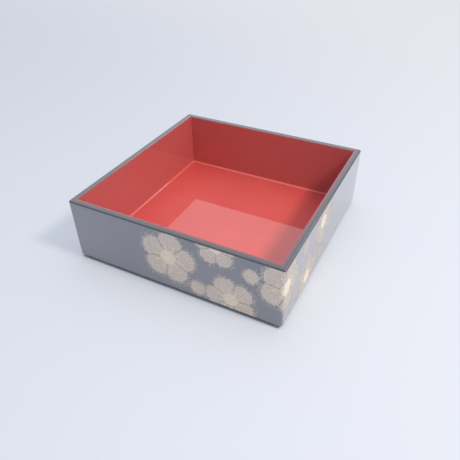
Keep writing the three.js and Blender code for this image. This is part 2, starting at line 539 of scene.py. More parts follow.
def link_mesh(name: str, mesh: Mesh, finish: Material) -> Thing:
    """Put a mesh in the scene as an object at the origin, with one material.

    Args:
        name: The name of the object and its mesh.
        mesh: The mesh.
        finish: The material.

    Returns:
        The object.
    """
    mesh.name = name
    mesh.materials.clear()
    mesh.materials.append(finish)
    thing = bpy.data.objects.new(name, mesh)
    bpy.context.scene.collection.objects.link(thing)
    return thing


def settle(
    name: str, mesh: Mesh, finish: Material, slot: Slot, replaced: Sequence[str] = ()
) -> None:
    """Fix a finished piece to the box and hide the solids that it stands for.

    Args:
        name: The piece's name.
        mesh: Its mesh.
        finish: Its material.
        slot: The record's finish that it takes. Not used.
        replaced: The solids that it stands for.
    """
    thing = link_mesh(name, mesh, finish)
    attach(thing, ROOT)
    if replaced:
        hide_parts(*replaced)
    log.info("%s: %d faces of %s", name, len(mesh.polygons), finish.name)


@dataclass
class BoxSizes:
    """The sizes of the finished tier, read off the fixed solids."""

    half_x: float
    half_y: float
    rim_top: float
    wall_bottom: float
    floor_top: float
    board_top: float
    board_bottom: float
    coat: float
    wall: float
    foot_inset: float
    recess_top: float
    batten_width: float

    @classmethod
    def from_solids(cls) -> "BoxSizes":
        """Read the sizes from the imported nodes.

        Returns:
            The sizes, in metres.
        """
        low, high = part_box("wall_lacquer")
        board_low, board_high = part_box("board_front")
        foot_low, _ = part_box("foot_lacquer")
        lining_low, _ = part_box("lining_lacquer")
        batten_low, batten_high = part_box("foot_batten_front")
        coat = board_low.y - low.y
        return cls(
            half_x=high.x,
            half_y=high.y,
            rim_top=high.z,
            wall_bottom=low.z,
            floor_top=lining_low.z + coat,
            board_top=board_high.z,
            board_bottom=board_low.z,
            coat=coat,
            wall=board_high.y - low.y + coat,
            foot_inset=foot_low.x - low.x,
            recess_top=batten_high.z - coat,
            batten_width=batten_high.y - batten_low.y,
        )


@dataclass(frozen=True)
class Ring:
    """One level ring of a coat: how far in it lies, its level and its corners' radius."""

    inset: float
    level: float
    radius: float

    def towards(self, other: "Ring", share: float) -> "Ring":
        """The ring at a share of the way to another ring.

        Args:
            other: The other ring.
            share: How far along the way the new ring lies, from 0 to 1.

        Returns:
            The new ring.
        """
        return Ring(
            self.inset + (other.inset - self.inset) * share,
            self.level + (other.level - self.level) * share,
            self.radius + (other.radius - self.radius) * share,
        )


def rounding(
    centre: Point2, radius: float, start: float, end: float, corner: Callable[[float], float]
) -> list[Ring]:
    """Rings round an edge.

    Args:
        centre: The rounding's middle, as inset and level.
        radius: Its radius.
        start: The angle it starts at, in degrees: 0 points inwards and 90 up.
        end: The angle it ends at.
        corner: The plan's corner radius for an inset.

    Returns:
        The rings in order.
    """
    steps = 10
    rings = []
    for i in range(steps + 1):
        angle = math.radians(start + (end - start) * i / steps)
        inset = centre[0] + radius * math.cos(angle)
        rings.append(Ring(inset, centre[1] + radius * math.sin(angle), corner(inset)))
    return rings


@dataclass
class Coat:
    """A closed skin of lacquer, swept round the box from a section of rings.

    Every straight stretch gets a narrow collar beside each rounding, so that smooth shading
    bends only on the rounding and the broad faces stay true mirrors. A looped section's last
    ring joins its first, and the ends of any other get flat caps with a collar ring each.
    """

    sizes: BoxSizes
    name: str
    solid: str
    slot: Slot = Slot.BLACK
    looped: bool = False
    corner_steps: int = 12
    collar: float = 0.12 * MM
    least_stretch: float = 0.48 * MM

    def rings(self) -> list[Ring]:
        """The section's rings in order."""
        raise NotImplementedError

    def collared(self) -> list[Ring]:
        """The section with its collar rings.

        Returns:
            The rings in order.
        """
        rings, result = self.rings(), []
        for ring, after in pairs(rings, self.looped):
            result.append(ring)
            length = math.hypot(after.inset - ring.inset, after.level - ring.level)
            if length > self.least_stretch:
                share = self.collar / length
                result += [ring.towards(after, share), ring.towards(after, 1 - share)]
        if self.looped:
            return result
        result.append(rings[-1])
        first, last = (
            Ring(end.inset + self.collar, end.level, end.radius) for end in (rings[0], rings[-1])
        )
        return [first, *result, last]

    def plan(self) -> list[tuple[Point3, Point3, Point3]]:
        """The stations round the plan: four quarter turns, each with a collar on both sides.

        Returns:
            For each station its corner's signs, its heading from the corner's middle, and the
            collar's shift along the wall.
        """
        stations = []
        for quarter, signs in enumerate(((1, 1, 0), (-1, 1, 0), (-1, -1, 0), (1, -1, 0))):
            turns = [
                math.radians(90 * (quarter + i / self.corner_steps))
                for i in range(self.corner_steps + 1)
            ]
            headings = [(math.cos(turn), math.sin(turn), 0.0) for turn in turns]
            first, last = headings[0], headings[-1]
            before = (first[1] * self.collar, -first[0] * self.collar, 0.0)
            after = (-last[1] * self.collar, last[0] * self.collar, 0.0)
            stations.append((signs, first, before))
            stations += [(signs, heading, (0.0, 0.0, 0.0)) for heading in headings]
            stations.append((signs, last, after))
        return stations

    def lattice(self) -> Mesh:
        """A mesh of every ring at every station, which carries its sizes as attributes.

        Returns:
            The mesh, with all its points still at the origin.
        """
        rings, stations = self.collared(), self.plan()
        count = len(stations)
        rows = [range(i * count, (i + 1) * count) for i in range(len(rings))]
        faces = [face for lower, upper in pairs(rows, self.looped) for face in quads(lower, upper)]
        if not self.looped:
            faces += [tuple(rows[0]), tuple(rows[-1])]
        mesh = bpy.data.meshes.new("lattice")
        mesh.from_pydata([(0, 0, 0)] * (len(rings) * count), [], faces)
        for name in ("inset", "level", "radius"):
            mark(mesh, **{name: [getattr(ring, name) for ring in rings for _ in stations]})
        for i, name in enumerate(("signs", "heading", "shift")):
            values = [c for _ in rings for station in stations for c in station[i]]
            mesh.attributes.new(name, "FLOAT_VECTOR", "POINT").data.foreach_set("vector", values)
        return mesh

    @staticmethod
    def sweep_tree(finish: Material) -> Tree:
        """The tree that puts each point of a lattice at its place round the box.

        A point lies at its corner's middle, plus its corner's radius along its heading, plus
        its collar's shift, at its level.

        Args:
            finish: The coat's material.

        Returns:
            The tree.
        """
        sizes = {"Half width": "Float", "Half depth": "Float"}
        tree, given = new_shape_tree("sweep a section round the box", sizes)
        inset, level, radius = (
            add_node(tree, "GeometryNodeInputNamedAttribute", [name], data_type="FLOAT")[0]
            for name in ("inset", "level", "radius")
        )
        signs, heading, shift = (
            add_node(tree, "GeometryNodeInputNamedAttribute", [name], data_type="FLOAT_VECTOR")[0]
            for name in ("signs", "heading", "shift")
        )
        inward = add_node(tree, "ShaderNodeMath", [inset, radius], operation="ADD")[0]
        reaches = [
            add_node(tree, "ShaderNodeMath", [given[name], inward], operation="SUBTRACT")[0]
            for name in sizes
        ]
        middle = add_node(tree, "ShaderNodeCombineXYZ", reaches)[0]
        middle = add_node(tree, "ShaderNodeVectorMath", [signs, middle], operation="MULTIPLY")[0]
        inputs = {0: heading, "Scale": radius}
        arm = add_node(tree, "ShaderNodeVectorMath", inputs, operation="SCALE")[0]
        rise = add_node(tree, "ShaderNodeCombineXYZ", {"Z": level})[0]
        place = middle
        for step in (arm, shift, rise):
            place = add_node(tree, "ShaderNodeVectorMath", [place, step], operation="ADD")[0]
        inputs = {"Geometry": given["Geometry"], "Position": place}
        end_shape_tree(tree, add_node(tree, "GeometryNodeSetPosition", inputs)[0], finish)
        return tree

    def build(self, finish: Material) -> None:
        """Build the coat as a closed, smooth mesh and fix it to the box.

        Args:
            finish: Its material.
        """
        values = {"Half width": self.sizes.half_x, "Half depth": self.sizes.half_y}
        mesh = closed_up(run_shape_tree(self.sweep_tree(finish), self.lattice(), values))
        mesh.shade_smooth()
        settle(self.name, mesh, finish, self.slot, [self.solid])


@dataclass
class WallCoat(Coat):
    """The black coat on the outer faces, over the rim and under the walls' lower edges."""

    name: str = "wall_coat"
    solid: str = "wall_lacquer"
    looped: bool = True
    corner_radius: float = 2.0 * MM
    lower_edge: float = 0.8 * MM
    rim_edge: float = 1.2 * MM
    mouth_edge: float = 1.0 * MM
    mouth_corner_radius: float = 0.5 * MM
    foot_corner_radius: float = 1.0 * MM

    def outer_corner(self, inset: float) -> float:
        """Corner radius on the outer side of the coat."""
        return self.corner_radius - inset

    def mouth_corner(self, inset: float) -> float:
        """Corner radius round the mouth."""
        return self.mouth_corner_radius + self.sizes.wall - inset

    def rings(self) -> list[Ring]:
        """The coat's closed section, from the lower edge up, over the rim and back inside.

        Returns:
            The section's rings in order.
        """
        s = self.sizes
        low, edge, inner = self.lower_edge, self.rim_edge, self.mouth_edge
        coat_depth = s.rim_top - s.board_top
        end = math.degrees(math.asin((inner - coat_depth) / inner))
        mouth = (s.wall - inner, s.rim_top - inner)
        return [
            *rounding((low, s.wall_bottom + low), low, 270, 180, self.outer_corner),
            *rounding((edge, s.rim_top - edge), edge, 180, 90, self.outer_corner),
            *rounding(mouth, inner, 90, end, self.mouth_corner),
            Ring(s.coat, s.board_top, self.outer_corner(s.coat)),
            Ring(s.coat, s.board_bottom, self.outer_corner(s.coat)),
            Ring(s.foot_inset, s.board_bottom, self.foot_corner_radius),
            Ring(s.foot_inset, s.wall_bottom, self.foot_corner_radius),
        ]


@dataclass
class LiningCoat(Coat):
    """The red coat over the inner faces and the floor, coved where they meet."""

    name: str = "red_lining"
    solid: str = "lining_lacquer"
    slot: Slot = Slot.RED
    cove_radius: float = 1.5 * MM
    corner_radius: float = 0.5 * MM
    least_radius: float = 0.12 * MM

    def corner(self, inset: float) -> float:
        """Corner radius round the lining."""
        return max(self.corner_radius + self.sizes.wall - inset, self.least_radius)

    def rings(self) -> list[Ring]:
        """The lining's section, from the middle of the floor out and up, and back behind.

        Returns:
            The section's rings in order.
        """
        s = self.sizes
        cove = self.cove_radius
        middle = (s.wall + cove, s.floor_top + cove)
        return [
            *rounding(middle, cove, 270, 180, self.corner),
            Ring(s.wall, s.board_top, self.corner(s.wall)),
            Ring(s.wall - s.coat, s.board_top, self.corner(s.wall - s.coat)),
            *rounding(middle, cove + s.coat, 180, 270, self.corner),
        ]


@dataclass
class FootCoat(Coat):
    """The black coat round the foot's battens and over the floor board's underside."""

    name: str = "foot_coat"
    solid: str = "foot_lacquer"
    corner_radius: float = 1.0 * MM
    edge_radius: float = 0.4 * MM
    least_radius: float = 0.3 * MM

    def corner(self, inset: float) -> float:
        """Corner radius round the foot."""
        return max(self.corner_radius + self.sizes.foot_inset - inset, self.least_radius)

    def rings(self) -> list[Ring]:
        """The coat's section, from the middle of the recess out, up the side and back inside.

        Returns:
            The section's rings in order.
        """
        s = self.sizes
        edge, least = self.edge_radius, self.least_radius
        outer = s.foot_inset
        batten_outer = outer + s.coat
        batten_inner = batten_outer + s.batten_width
        recess = batten_inner + s.coat
        return [
            Ring(recess, s.recess_top, least),
            Ring(recess, edge, least),
            Ring(recess - edge, 0.0, least),
            *rounding((outer + edge, edge), edge, 270, 180, self.corner),
            Ring(outer, s.board_bottom, self.corner(outer)),
            Ring(batten_outer, s.board_bottom, self.corner(batten_outer)),
            Ring(batten_outer, s.coat, self.corner(batten_outer)),
            Ring(batten_inner, s.coat, least),
            Ring(batten_inner, s.recess_top + s.coat, least),
        ]


@dataclass
class CornerWrap:
    """Lays flat drawings round the front right corner.

    A drawing's first coordinate runs along the walls from the corner: below 0 on the front wall
    and above 0 on the right wall. Its second is the level.
    """

    sizes: BoxSizes
    radius: float
    steps: int = 8
    edge_margin: float = 0.85 * MM
    rim_margin: float = 1.25 * MM

    @property
    def turn(self) -> float:
        """Half the length of the corner's rounding, along the surface."""
        return self.radius * math.pi / 4

    def place(self, along: float, level: float, proud: float) -> Point3:
        """The point on the box for a point of a drawing.

        Args:
            along: The drawing's first coordinate.
            level: Its second.
            proud: How far the point stands out of the coat.

        Returns:
            The point in the box's frame.
        """
        cx = self.sizes.half_x - self.radius
        cy = self.radius - self.sizes.half_y
        reach = self.radius + proud
        if along < -self.turn:
            return (cx + along + self.turn, cy - reach, level)
        if along > self.turn:
            return (cx + reach, cy + along - self.turn, level)
        angle = (along + self.turn) / self.radius - math.pi / 2
        return (cx + reach * math.cos(angle), cy + reach * math.sin(angle), level)

    def trimmed(self, drawings: Iterable[Mesh]) -> bmesh.types.BMesh:
        """Cut drawings off at the walls' rounded edges, and cut them where they bend.

        Args:
            drawings: The flat drawings.

        Returns:
            All of them as one flat drawing of triangles.
        """
        flat = bmesh.new()
        for drawing in drawings:
            flat.from_mesh(drawing)
        lowest = self.sizes.wall_bottom + self.edge_margin
        highest = self.sizes.rim_top - self.rim_margin
        bends = [self.turn * (2 * i / self.steps - 1) for i in range(self.steps + 1)]
        cuts = [((0, lowest, 0), (0, -1, 0), True), ((0, highest, 0), (0, 1, 0), True)]
        cuts += [((along, 0, 0), (1, 0, 0), False) for along in bends]
        for point, normal, clear in cuts:
            bmesh.ops.bisect_plane(
                flat,
                geom=[*flat.verts, *flat.edges, *flat.faces],
                plane_co=point,
                plane_no=normal,
                clear_outer=clear,
            )
        bmesh.ops.triangulate(flat, faces=flat.faces)
        return flat

    def plates(self, drawings: Iterable[Mesh], proud: float, sunk: float) -> Mesh:
        """Turn flat drawings into closed thin plates on the box.

        Args:
            drawings: The flat drawings.
            proud: How far the plates' faces stand out of the coat.
            sunk: How far their backs lie inside it.

        Returns:
            The plates' mesh.
        """
        flat = self.trimmed(drawings)
        flat.verts.index_update()
        count = len(flat.verts)
        points = [self.place(v.co.x, v.co.y, proud) for v in flat.verts]
        points += [self.place(v.co.x, v.co.y, -sunk) for v in flat.verts]
        faces = []
        for face in flat.faces:
            corners = [v.index for v in face.verts]
            faces += [corners, [i + count for i in reversed(corners)]]
        for edge in flat.edges:
            if edge.is_boundary:
                a, b = (v.index for v in edge.verts)
                faces.append([a, b, b + count, a + count])
        flat.free()
        mesh = bpy.data.meshes.new("plates")
        mesh.from_pydata(points, [], faces)
        return closed_up(mesh)

    def surface(self, drawings: Iterable[Mesh]) -> Mesh:
        """Lay flat drawings on the coat as an open surface that keeps their attributes.

        Args:
            drawings: The flat drawings.

        Returns:
            The surface's mesh.
        """
        flat = self.trimmed(drawings)
        for vert in flat.verts:
            vert.co = self.place(vert.co.x, vert.co.y, 0.0)
        mesh = bpy.data.meshes.new("surface")
        flat.to_mesh(mesh)
        flat.free()
        return mesh


@dataclass
class Motif:
    """One small flat drawing round the origin, drawn for a blossom or bud of radius 1.

    Each point has a stray, which says how far its edge may wander, and an amount of dust, which
    says how thickly loose grains lie there.
    """

    points: list[Point2] = field(default_factory=list)
    faces: list[tuple[int, ...]] = field(default_factory=list)
    stray: list[float] = field(default_factory=list)
    dust: list[float] = field(default_factory=list)

    def row(self, outline: Sequence[Point2], dust: float, stray: Sequence[float] = ()) -> range:
        """Add an outline's points.

        Args:
            outline: The points.
            dust: The amount of dust on them all.
            stray: Each point's stray, or nothing for none.

        Returns:
            The points' numbers.
        """
        first = len(self.points)
        self.points += outline
        self.stray += stray or [0.0] * len(outline)
        self.dust += [dust] * len(outline)
        return range(first, len(self.points))

    def fan(self, middle: Point2, outline: Sequence[Point2], stray: Sequence[float] = ()) -> None:
        """Fill an outline with triangles from a point in its middle."""
        hub = self.row([middle], 1.0)[0]
        self.faces += [(hub, a, b) for a, b in pairs(self.row(outline, 1.0, stray), True)]

    def band(self, outlines: Sequence[Sequence[Point2]], dust: Sequence[float]) -> None:
        """Fill the gaps between closed outlines that lie round one another.

        Args:
            outlines: The outlines from the innermost out, each with as many points.
            dust: The amount of dust on each outline.
        """
        rows = [self.row(outline, amount) for outline, amount in zip(outlines, dust)]
        for inner, outer in pairs(rows, False):
            self.faces += quads(inner, outer)

    def mesh(self) -> Mesh:
        """The drawing as a flat mesh, with its strays and dust as attributes.

        Returns:
            The mesh.
        """
        mesh = bpy.data.meshes.new("motif")
        mesh.from_pydata([(x, y, 0) for x, y in self.points], [], self.faces)
        mark(mesh, stray=self.stray, dust=self.dust)
        return mesh


def disc(middle: Point2, radius: float, steps: int) -> list[Point2]:
    """A round outline."""
    angles = [2 * math.pi * i / steps for i in range(steps)]
    return [(middle[0] + radius * math.cos(a), middle[1] + radius * math.sin(a)) for a in angles]


def pushed_out(outline: Sequence[Point2], shifts: Sequence[float]) -> list[Point2]:
    """Move each point of an anticlockwise outline outwards by its own shift.

    Args:
        outline: The outline.
        shifts: Each point's shift.

    Returns:
        The new outline.
    """
    result = []
    for i, ((x, y), shift) in enumerate(zip(outline, shifts)):
        x0, y0 = outline[i - 1]
        x1, y1 = outline[(i + 1) % len(outline)]
        length = math.hypot(x1 - x0, y1 - y0)
        result.append((x + (y1 - y0) / length * shift, y + (x0 - x1) / length * shift))
    return result


@dataclass(frozen=True)
class Bloom:
    """One plum blossom or bud: where it lies from the corner, its level, size and turn."""

    side: Side
    from_corner_mm: float
    level_mm: float
    radius_mm: float
    turn_deg: float = 0.0


@dataclass
class Blossoms:
    """Five-petalled plum blossoms and round buds in sprinkled powder.

    Petals and buds are solid powder with a rough edge, and loose grains thin out round them.
    Every motif is drawn once and set round each blossom's middle by Geometry Nodes.
    """

    wrap: CornerWrap
    seed: int = 11
    petals: int = 5
    usual_radius_mm: float = 21.0
    usual_bud_mm: float = 6.0
    petal_reach: float = 0.56
    petal_radius: float = 0.45
    petal_root: float = 0.24
    petal_gap_deg: float = 1.8
    petal_steps: int = 26
    petal_side_steps: int = 7
    shoulder_stray: float = 0.4
    side_stray: float = 0.12
    bud_steps: int = 36
    bud_stray: float = 0.8
    heart_radius: float = 0.3
    heart_steps: int = 28
    stamen_reaches: tuple[float, float] = (0.44, 0.54)
    stamen_width_mm: float = 0.45
    stamen_gap_mm: float = 0.25
    anther_radius_mm: float = 0.75
    anther_steps: int = 10
    edge_stray_mm: float = 1.1
    edge_grain_mm: float = 0.5
    proud: float = 0.04 * MM
    sunk: float = 0.05 * MM
    heart_proud: float = 0.065 * MM
    heart_sunk: float = 0.02 * MM
    grain_radius_mm: float = 0.38
    grain_height_mm: float = 0.06
    grain_sides: int = 6
    grain_sizes: Span = (0.55, 1.25)
    grains_per_mm2: float = 2.0
    dust_offsets_mm: tuple[float, ...] = (-1.6, -0.8, 0.2, 1.2, 2.4, 4.2)
    dust_amounts: tuple[float, ...] = (0.55, 0.9, 1.0, 0.6, 0.25, 0.0)
    blooms: tuple[Bloom, ...] = (
        Bloom(Side.FRONT, 98, 35, 24, 8),
        Bloom(Side.FRONT, 43, 13, 21, 40),
        Bloom(Side.FRONT, 55, 60, 17, 20),
        Bloom(Side.RIGHT, 4, 41, 23, 66),
        Bloom(Side.RIGHT, 50, 14, 20, 12),
        Bloom(Side.RIGHT, 84, 47, 21, 50),
    )
    buds: tuple[Bloom, ...] = (
        Bloom(Side.FRONT, 72, 13, 6.5),
        Bloom(Side.FRONT, 26, 44, 6.0),
        Bloom(Side.RIGHT, 42, 49, 6.5),
        Bloom(Side.RIGHT, 84, 15, 6.0),
        Bloom(Side.RIGHT, 20, 8, 5.0),
    )

    def petal_outline(self) -> tuple[list[Point2], list[float]]:
        """One petal that points along +X: a round end between two straight sides.

        Returns:
            Its outline, and how far its edge may wander at each point.
        """
        spread = math.radians(180 / self.petals - self.petal_gap_deg)
        points = []
        for i in range(self.petal_steps + 1):
            angle = spread * (2 * i / self.petal_steps - 1)
            across = self.petal_reach * math.sin(angle)
            far = self.petal_reach * math.cos(angle) + math.sqrt(self.petal_radius**2 - across**2)
            points.append((far * math.cos(angle), far * math.sin(angle)))
        side = [
            far + (self.petal_root - far) * i / self.petal_side_steps
            for i in range(1, self.petal_side_steps + 1)
        ]
        points += [(r * math.cos(spread), r * math.sin(spread)) for r in side]
        points += [(r * math.cos(spread), -r * math.sin(spread)) for r in reversed(side)]
        shoulder = [self.shoulder_stray] * 2
        crown = [1.0] * (self.petal_steps + 1 - 2 * len(shoulder))
        return points, [*shoulder, *crown, *shoulder, *[self.side_stray] * (2 * len(side))]

    def dusting(
        self, outline: Sequence[Point2], stray: Sequence[float], usual_mm: float
    ) -> Motif:
        """The band round an outline in which loose grains lie.

        Args:
            outline: The outline, drawn for a radius of 1.
            stray: How far the grains may stray out of it at each point, from 0 to 1.
            usual_mm: The real radius that the band's widths are meant for.

        Returns:
            The band.
        """
        lines = []
        for offset in self.dust_offsets_mm:
            shifts = [offset * (s if offset > 0 else 1.0) / usual_mm for s in stray]
            lines.append(pushed_out(outline, shifts))
        motif = Motif()
        motif.band(lines, self.dust_amounts)
        return motif

    def stamen_pair(self) -> Motif:
        """A short and a long stamen: thin stalks with round anthers, one petal's share.

        Returns:
            The pair.
        """
        motif = Motif()
        half = self.stamen_width_mm / self.usual_radius_mm / 2
        knob = self.anther_radius_mm / self.usual_radius_mm
        gap = self.stamen_gap_mm / self.usual_radius_mm
        for i, reach in enumerate(self.stamen_reaches):
            turn = math.radians(360 / self.petals * (i + 0.5) / len(self.stamen_reaches))
            ux, uy = math.cos(turn), math.sin(turn)
            near, far = self.heart_radius + gap, reach - knob - gap / 2
            corners = ((near, -half), (far, -half), (far, half), (near, half))
            stalk = [(r * ux - w * uy, r * uy + w * ux) for r, w in corners]
            motif.fan(((near + far) / 2 * ux, (near + far) / 2 * uy), stalk)
            anther = (reach * ux, reach * uy)
            motif.fan(anther, disc(anther, knob, self.anther_steps))
        return motif

    def spray_tree(self, finish: Material) -> Tree:
        """The tree that sets copies of a motif round each place and roughens their edges.

        Args:
            finish: The motif's material.

        Returns:
            The tree.
        """
        inputs = {"Places": "Object", "Copies": "Int", "Stray": "Float", "Grain": "Float"}
        tree, given = new_shape_tree("set a motif round its places", {**inputs, "Seed": "Int"})
        number = add_node(tree, "GeometryNodeInputIndex")[0]
        whole_turn = add_node(tree, "ShaderNodeMath", [number, math.tau], operation="MULTIPLY")[0]
        share = [whole_turn, given["Copies"]]
        turn = add_node(tree, "ShaderNodeMath", share, operation="DIVIDE")[0]
        inputs = {
            "Points": add_node(tree, "GeometryNodePoints", {"Count": given["Copies"]})[0],
            "Instance": given["Geometry"],
            "Rotation": add_node(tree, "ShaderNodeCombineXYZ", {"Z": turn})[0],
        }
        flower = add_node(tree, "GeometryNodeInstanceOnPoints", inputs)[0]
        size, lean, stray = (
            add_node(tree, "GeometryNodeInputNamedAttribute", [name], data_type="FLOAT")[0]
            for name in ("size", "turn", "stray")
        )
        places = add_node(tree, "GeometryNodeObjectInfo", {"Object": given["Places"]})
        inputs = {
            "Points": places["Geometry"],
            "Instance": flower,
            "Rotation": add_node(tree, "ShaderNodeCombineXYZ", {"Z": lean})[0],
            "Scale": size,
        }
        spray = add_node(tree, "GeometryNodeInstanceOnPoints", inputs)[0]
        real = add_node(tree, "GeometryNodeRealizeInstances", {"Geometry": spray})[0]
        scale = add_node(tree, "ShaderNodeMath", [1.0, given["Grain"]], operation="DIVIDE")[0]
        inputs = {"W": given["Seed"], "Scale": scale, "Detail": 0.0}
        grain = add_node(tree, "ShaderNodeTexNoise", inputs, noise_dimensions="4D")["Color"]
        # From 0 to 1 in space, to -1 to 1 in the drawing's plane.
        pair = [grain, (0.5, 0.5, 0.5)]
        shift = add_node(tree, "ShaderNodeVectorMath", pair, operation="SUBTRACT")[0]
        pair = [shift, (2.0, 2.0, 0.0)]
        shift = add_node(tree, "ShaderNodeVectorMath", pair, operation="MULTIPLY")[0]
        amount = add_node(tree, "ShaderNodeMath", [stray, given["Stray"]], operation="MULTIPLY")[0]
        inputs = {0: shift, "Scale": amount}
        shift = add_node(tree, "ShaderNodeVectorMath", inputs, operation="SCALE")[0]
        inputs = {"Geometry": real, "Offset": shift}
        end_shape_tree(tree, add_node(tree, "GeometryNodeSetPosition", inputs)[0], finish)
        return tree

    def spray(self, motif: Motif, places: Sequence[Bloom], copies: int, finish: Material) -> Mesh:
        """Set copies of a motif round each of its places.

        Args:
            motif: The motif.
            places: The blossoms or buds that get it.
            copies: How many times it stands round each of them.
            finish: Its material.

        Returns:
            The flat drawing of them all.
        """
        points = bpy.data.meshes.new("places")
        spots = [
            (bloom.side.value * bloom.from_corner_mm * MM, bloom.level_mm * MM, 0.0)
            for bloom in places
        ]
        points.from_pydata(spots, [], [])
        mark(
            points,
            size=[bloom.radius_mm * MM for bloom in places],
            turn=[math.radians(bloom.turn_deg) for bloom in places],
        )
        spots_object = bpy.data.objects.new("places", points)
        bpy.context.scene.collection.objects.link(spots_object)
        values = {
            "Places": spots_object,
            "Copies": copies,
            "Stray": self.edge_stray_mm * MM,
            "Grain": self.edge_grain_mm * MM,
            "Seed": self.seed,
        }
        drawing = run_shape_tree(self.spray_tree(finish), motif.mesh(), values)
        bpy.data.objects.remove(spots_object)
        return drawing

    def build_petals(self, finish: Material) -> None:
        """Build the solid powder of the petals and buds.

        Args:
            finish: Its material.
        """
        petal, bud = Motif(), Motif()
        outline, stray = self.petal_outline()
        petal.fan((self.petal_reach, 0.0), outline, stray)
        ring = disc((0.0, 0.0), 1.0, self.bud_steps)
        bud.fan((0.0, 0.0), ring, [self.bud_stray] * self.bud_steps)
        drawings = [
            self.spray(petal, self.blooms, self.petals, finish),
            self.spray(bud, self.buds, 1, finish),
        ]
        mesh = self.wrap.plates(drawings, self.proud, self.sunk)
        settle("blossom_petals", mesh, finish, Slot.POWDER)

    def build_hearts(self, finish: Material) -> None:
        """Build the blossoms' round hearts, with their stamens and anthers.

        Args:
            finish: Their material.
        """
        heart = Motif()
        heart.fan((0.0, 0.0), disc((0.0, 0.0), self.heart_radius, self.heart_steps))
        drawings = [
            self.spray(heart, self.blooms, 1, finish),
            self.spray(self.stamen_pair(), self.blooms, self.petals, finish),
        ]
        mesh = self.wrap.plates(drawings, self.heart_proud, self.heart_sunk)
        settle("blossom_hearts", mesh, finish, Slot.CREAM)

    def build_dust(self, finish: Material) -> None:
        """Build the loose grains that thin out round each petal and bud.

        Args:
            finish: Their material.
        """
        outline, stray = self.petal_outline()
        petal_band = self.dusting(outline, stray, self.usual_radius_mm)
        ring = disc((0.0, 0.0), 1.0, self.bud_steps)
        bud_band = self.dusting(ring, [self.bud_stray] * self.bud_steps, self.usual_bud_mm)
        drawings = [
            self.spray(petal_band, self.blooms, self.petals, finish),
            self.spray(bud_band, self.buds, 1, finish),
        ]
        values = {
            "Grains per mm2": self.grains_per_mm2,
            "Grain radius": self.grain_radius_mm * MM,
            "Grain height": self.grain_height_mm * MM,
            "Seed": self.seed,
        }
        surface = self.wrap.surface(drawings)
        mesh = run_shape_tree(self.grain_tree(finish), surface, values)
        settle("blossom_dust", mesh, finish, Slot.POWDER)

    def grain_tree(self, finish: Material) -> Tree:
        """The tree that scatters flat grains where the dust lies.

        Args:
            finish: The grains' material.

        Returns:
            The tree.
        """
        inputs = {"Grains per mm2": "Float", "Grain radius": "Float", "Grain height": "Float"}
        tree, given = new_shape_tree("scatter grains of powder", {**inputs, "Seed": "Int"})
        dust = add_node(tree, "GeometryNodeInputNamedAttribute", ["dust"], data_type="FLOAT")[0]
        density = [given["Grains per mm2"], dust]
        density = add_node(tree, "ShaderNodeMath", density, operation="MULTIPLY")[0]
        density = add_node(tree, "ShaderNodeMath", [density, MM**-2], operation="MULTIPLY")[0]
        inputs = {"Mesh": given["Geometry"], "Density": density, "Seed": given["Seed"]}
        spots = add_node(tree, "GeometryNodeDistributePointsOnFaces", inputs)
        inputs = {
            "Vertices": self.grain_sides,
            "Radius": given["Grain radius"],
            "Depth": given["Grain height"],
        }
        grain = add_node(tree, "GeometryNodeMeshCylinder", inputs)["Mesh"]
        smallest, largest = self.grain_sizes
        inputs = {2: smallest, 3: largest, "Seed": given["Seed"]}
        size = add_node(tree, "FunctionNodeRandomValue", inputs, data_type="FLOAT")[1]
        inputs = {
            "Points": spots["Points"],
            "Instance": grain,
            "Rotation": spots["Rotation"],
            "Scale": size,
        }
        end_shape_tree(tree, add_node(tree, "GeometryNodeInstanceOnPoints", inputs)[0], finish)
        return tree


@dataclass
class WoodenCore:
    """The boards, slips, battens and putty that the coats hide."""

    nodes: Mapping[str, Thing]
    boards: PlanedWood = CYPRESS
    slips: PlanedWood = ZELKOVA
    putty: LacquerPutty = PUTTY

    def dress(self) -> None:
        """Give each hidden solid its wood or putty."""
        finishes = {
            Hidden.BOARD: self.boards.material(),
            Hidden.SLIP: self.slips.material(),
            Hidden.PUTTY: self.putty.material(),
        }
        for kind, finish in finishes.items():
            solids = [node for name, node in self.nodes.items() if name.startswith(kind.value)]
            for solid in solids:
                for slot in solid.material_slots:
                    slot.material = finish
            log.info("%s: %d solids of %s", kind.name.lower(), len(solids), finish.name)


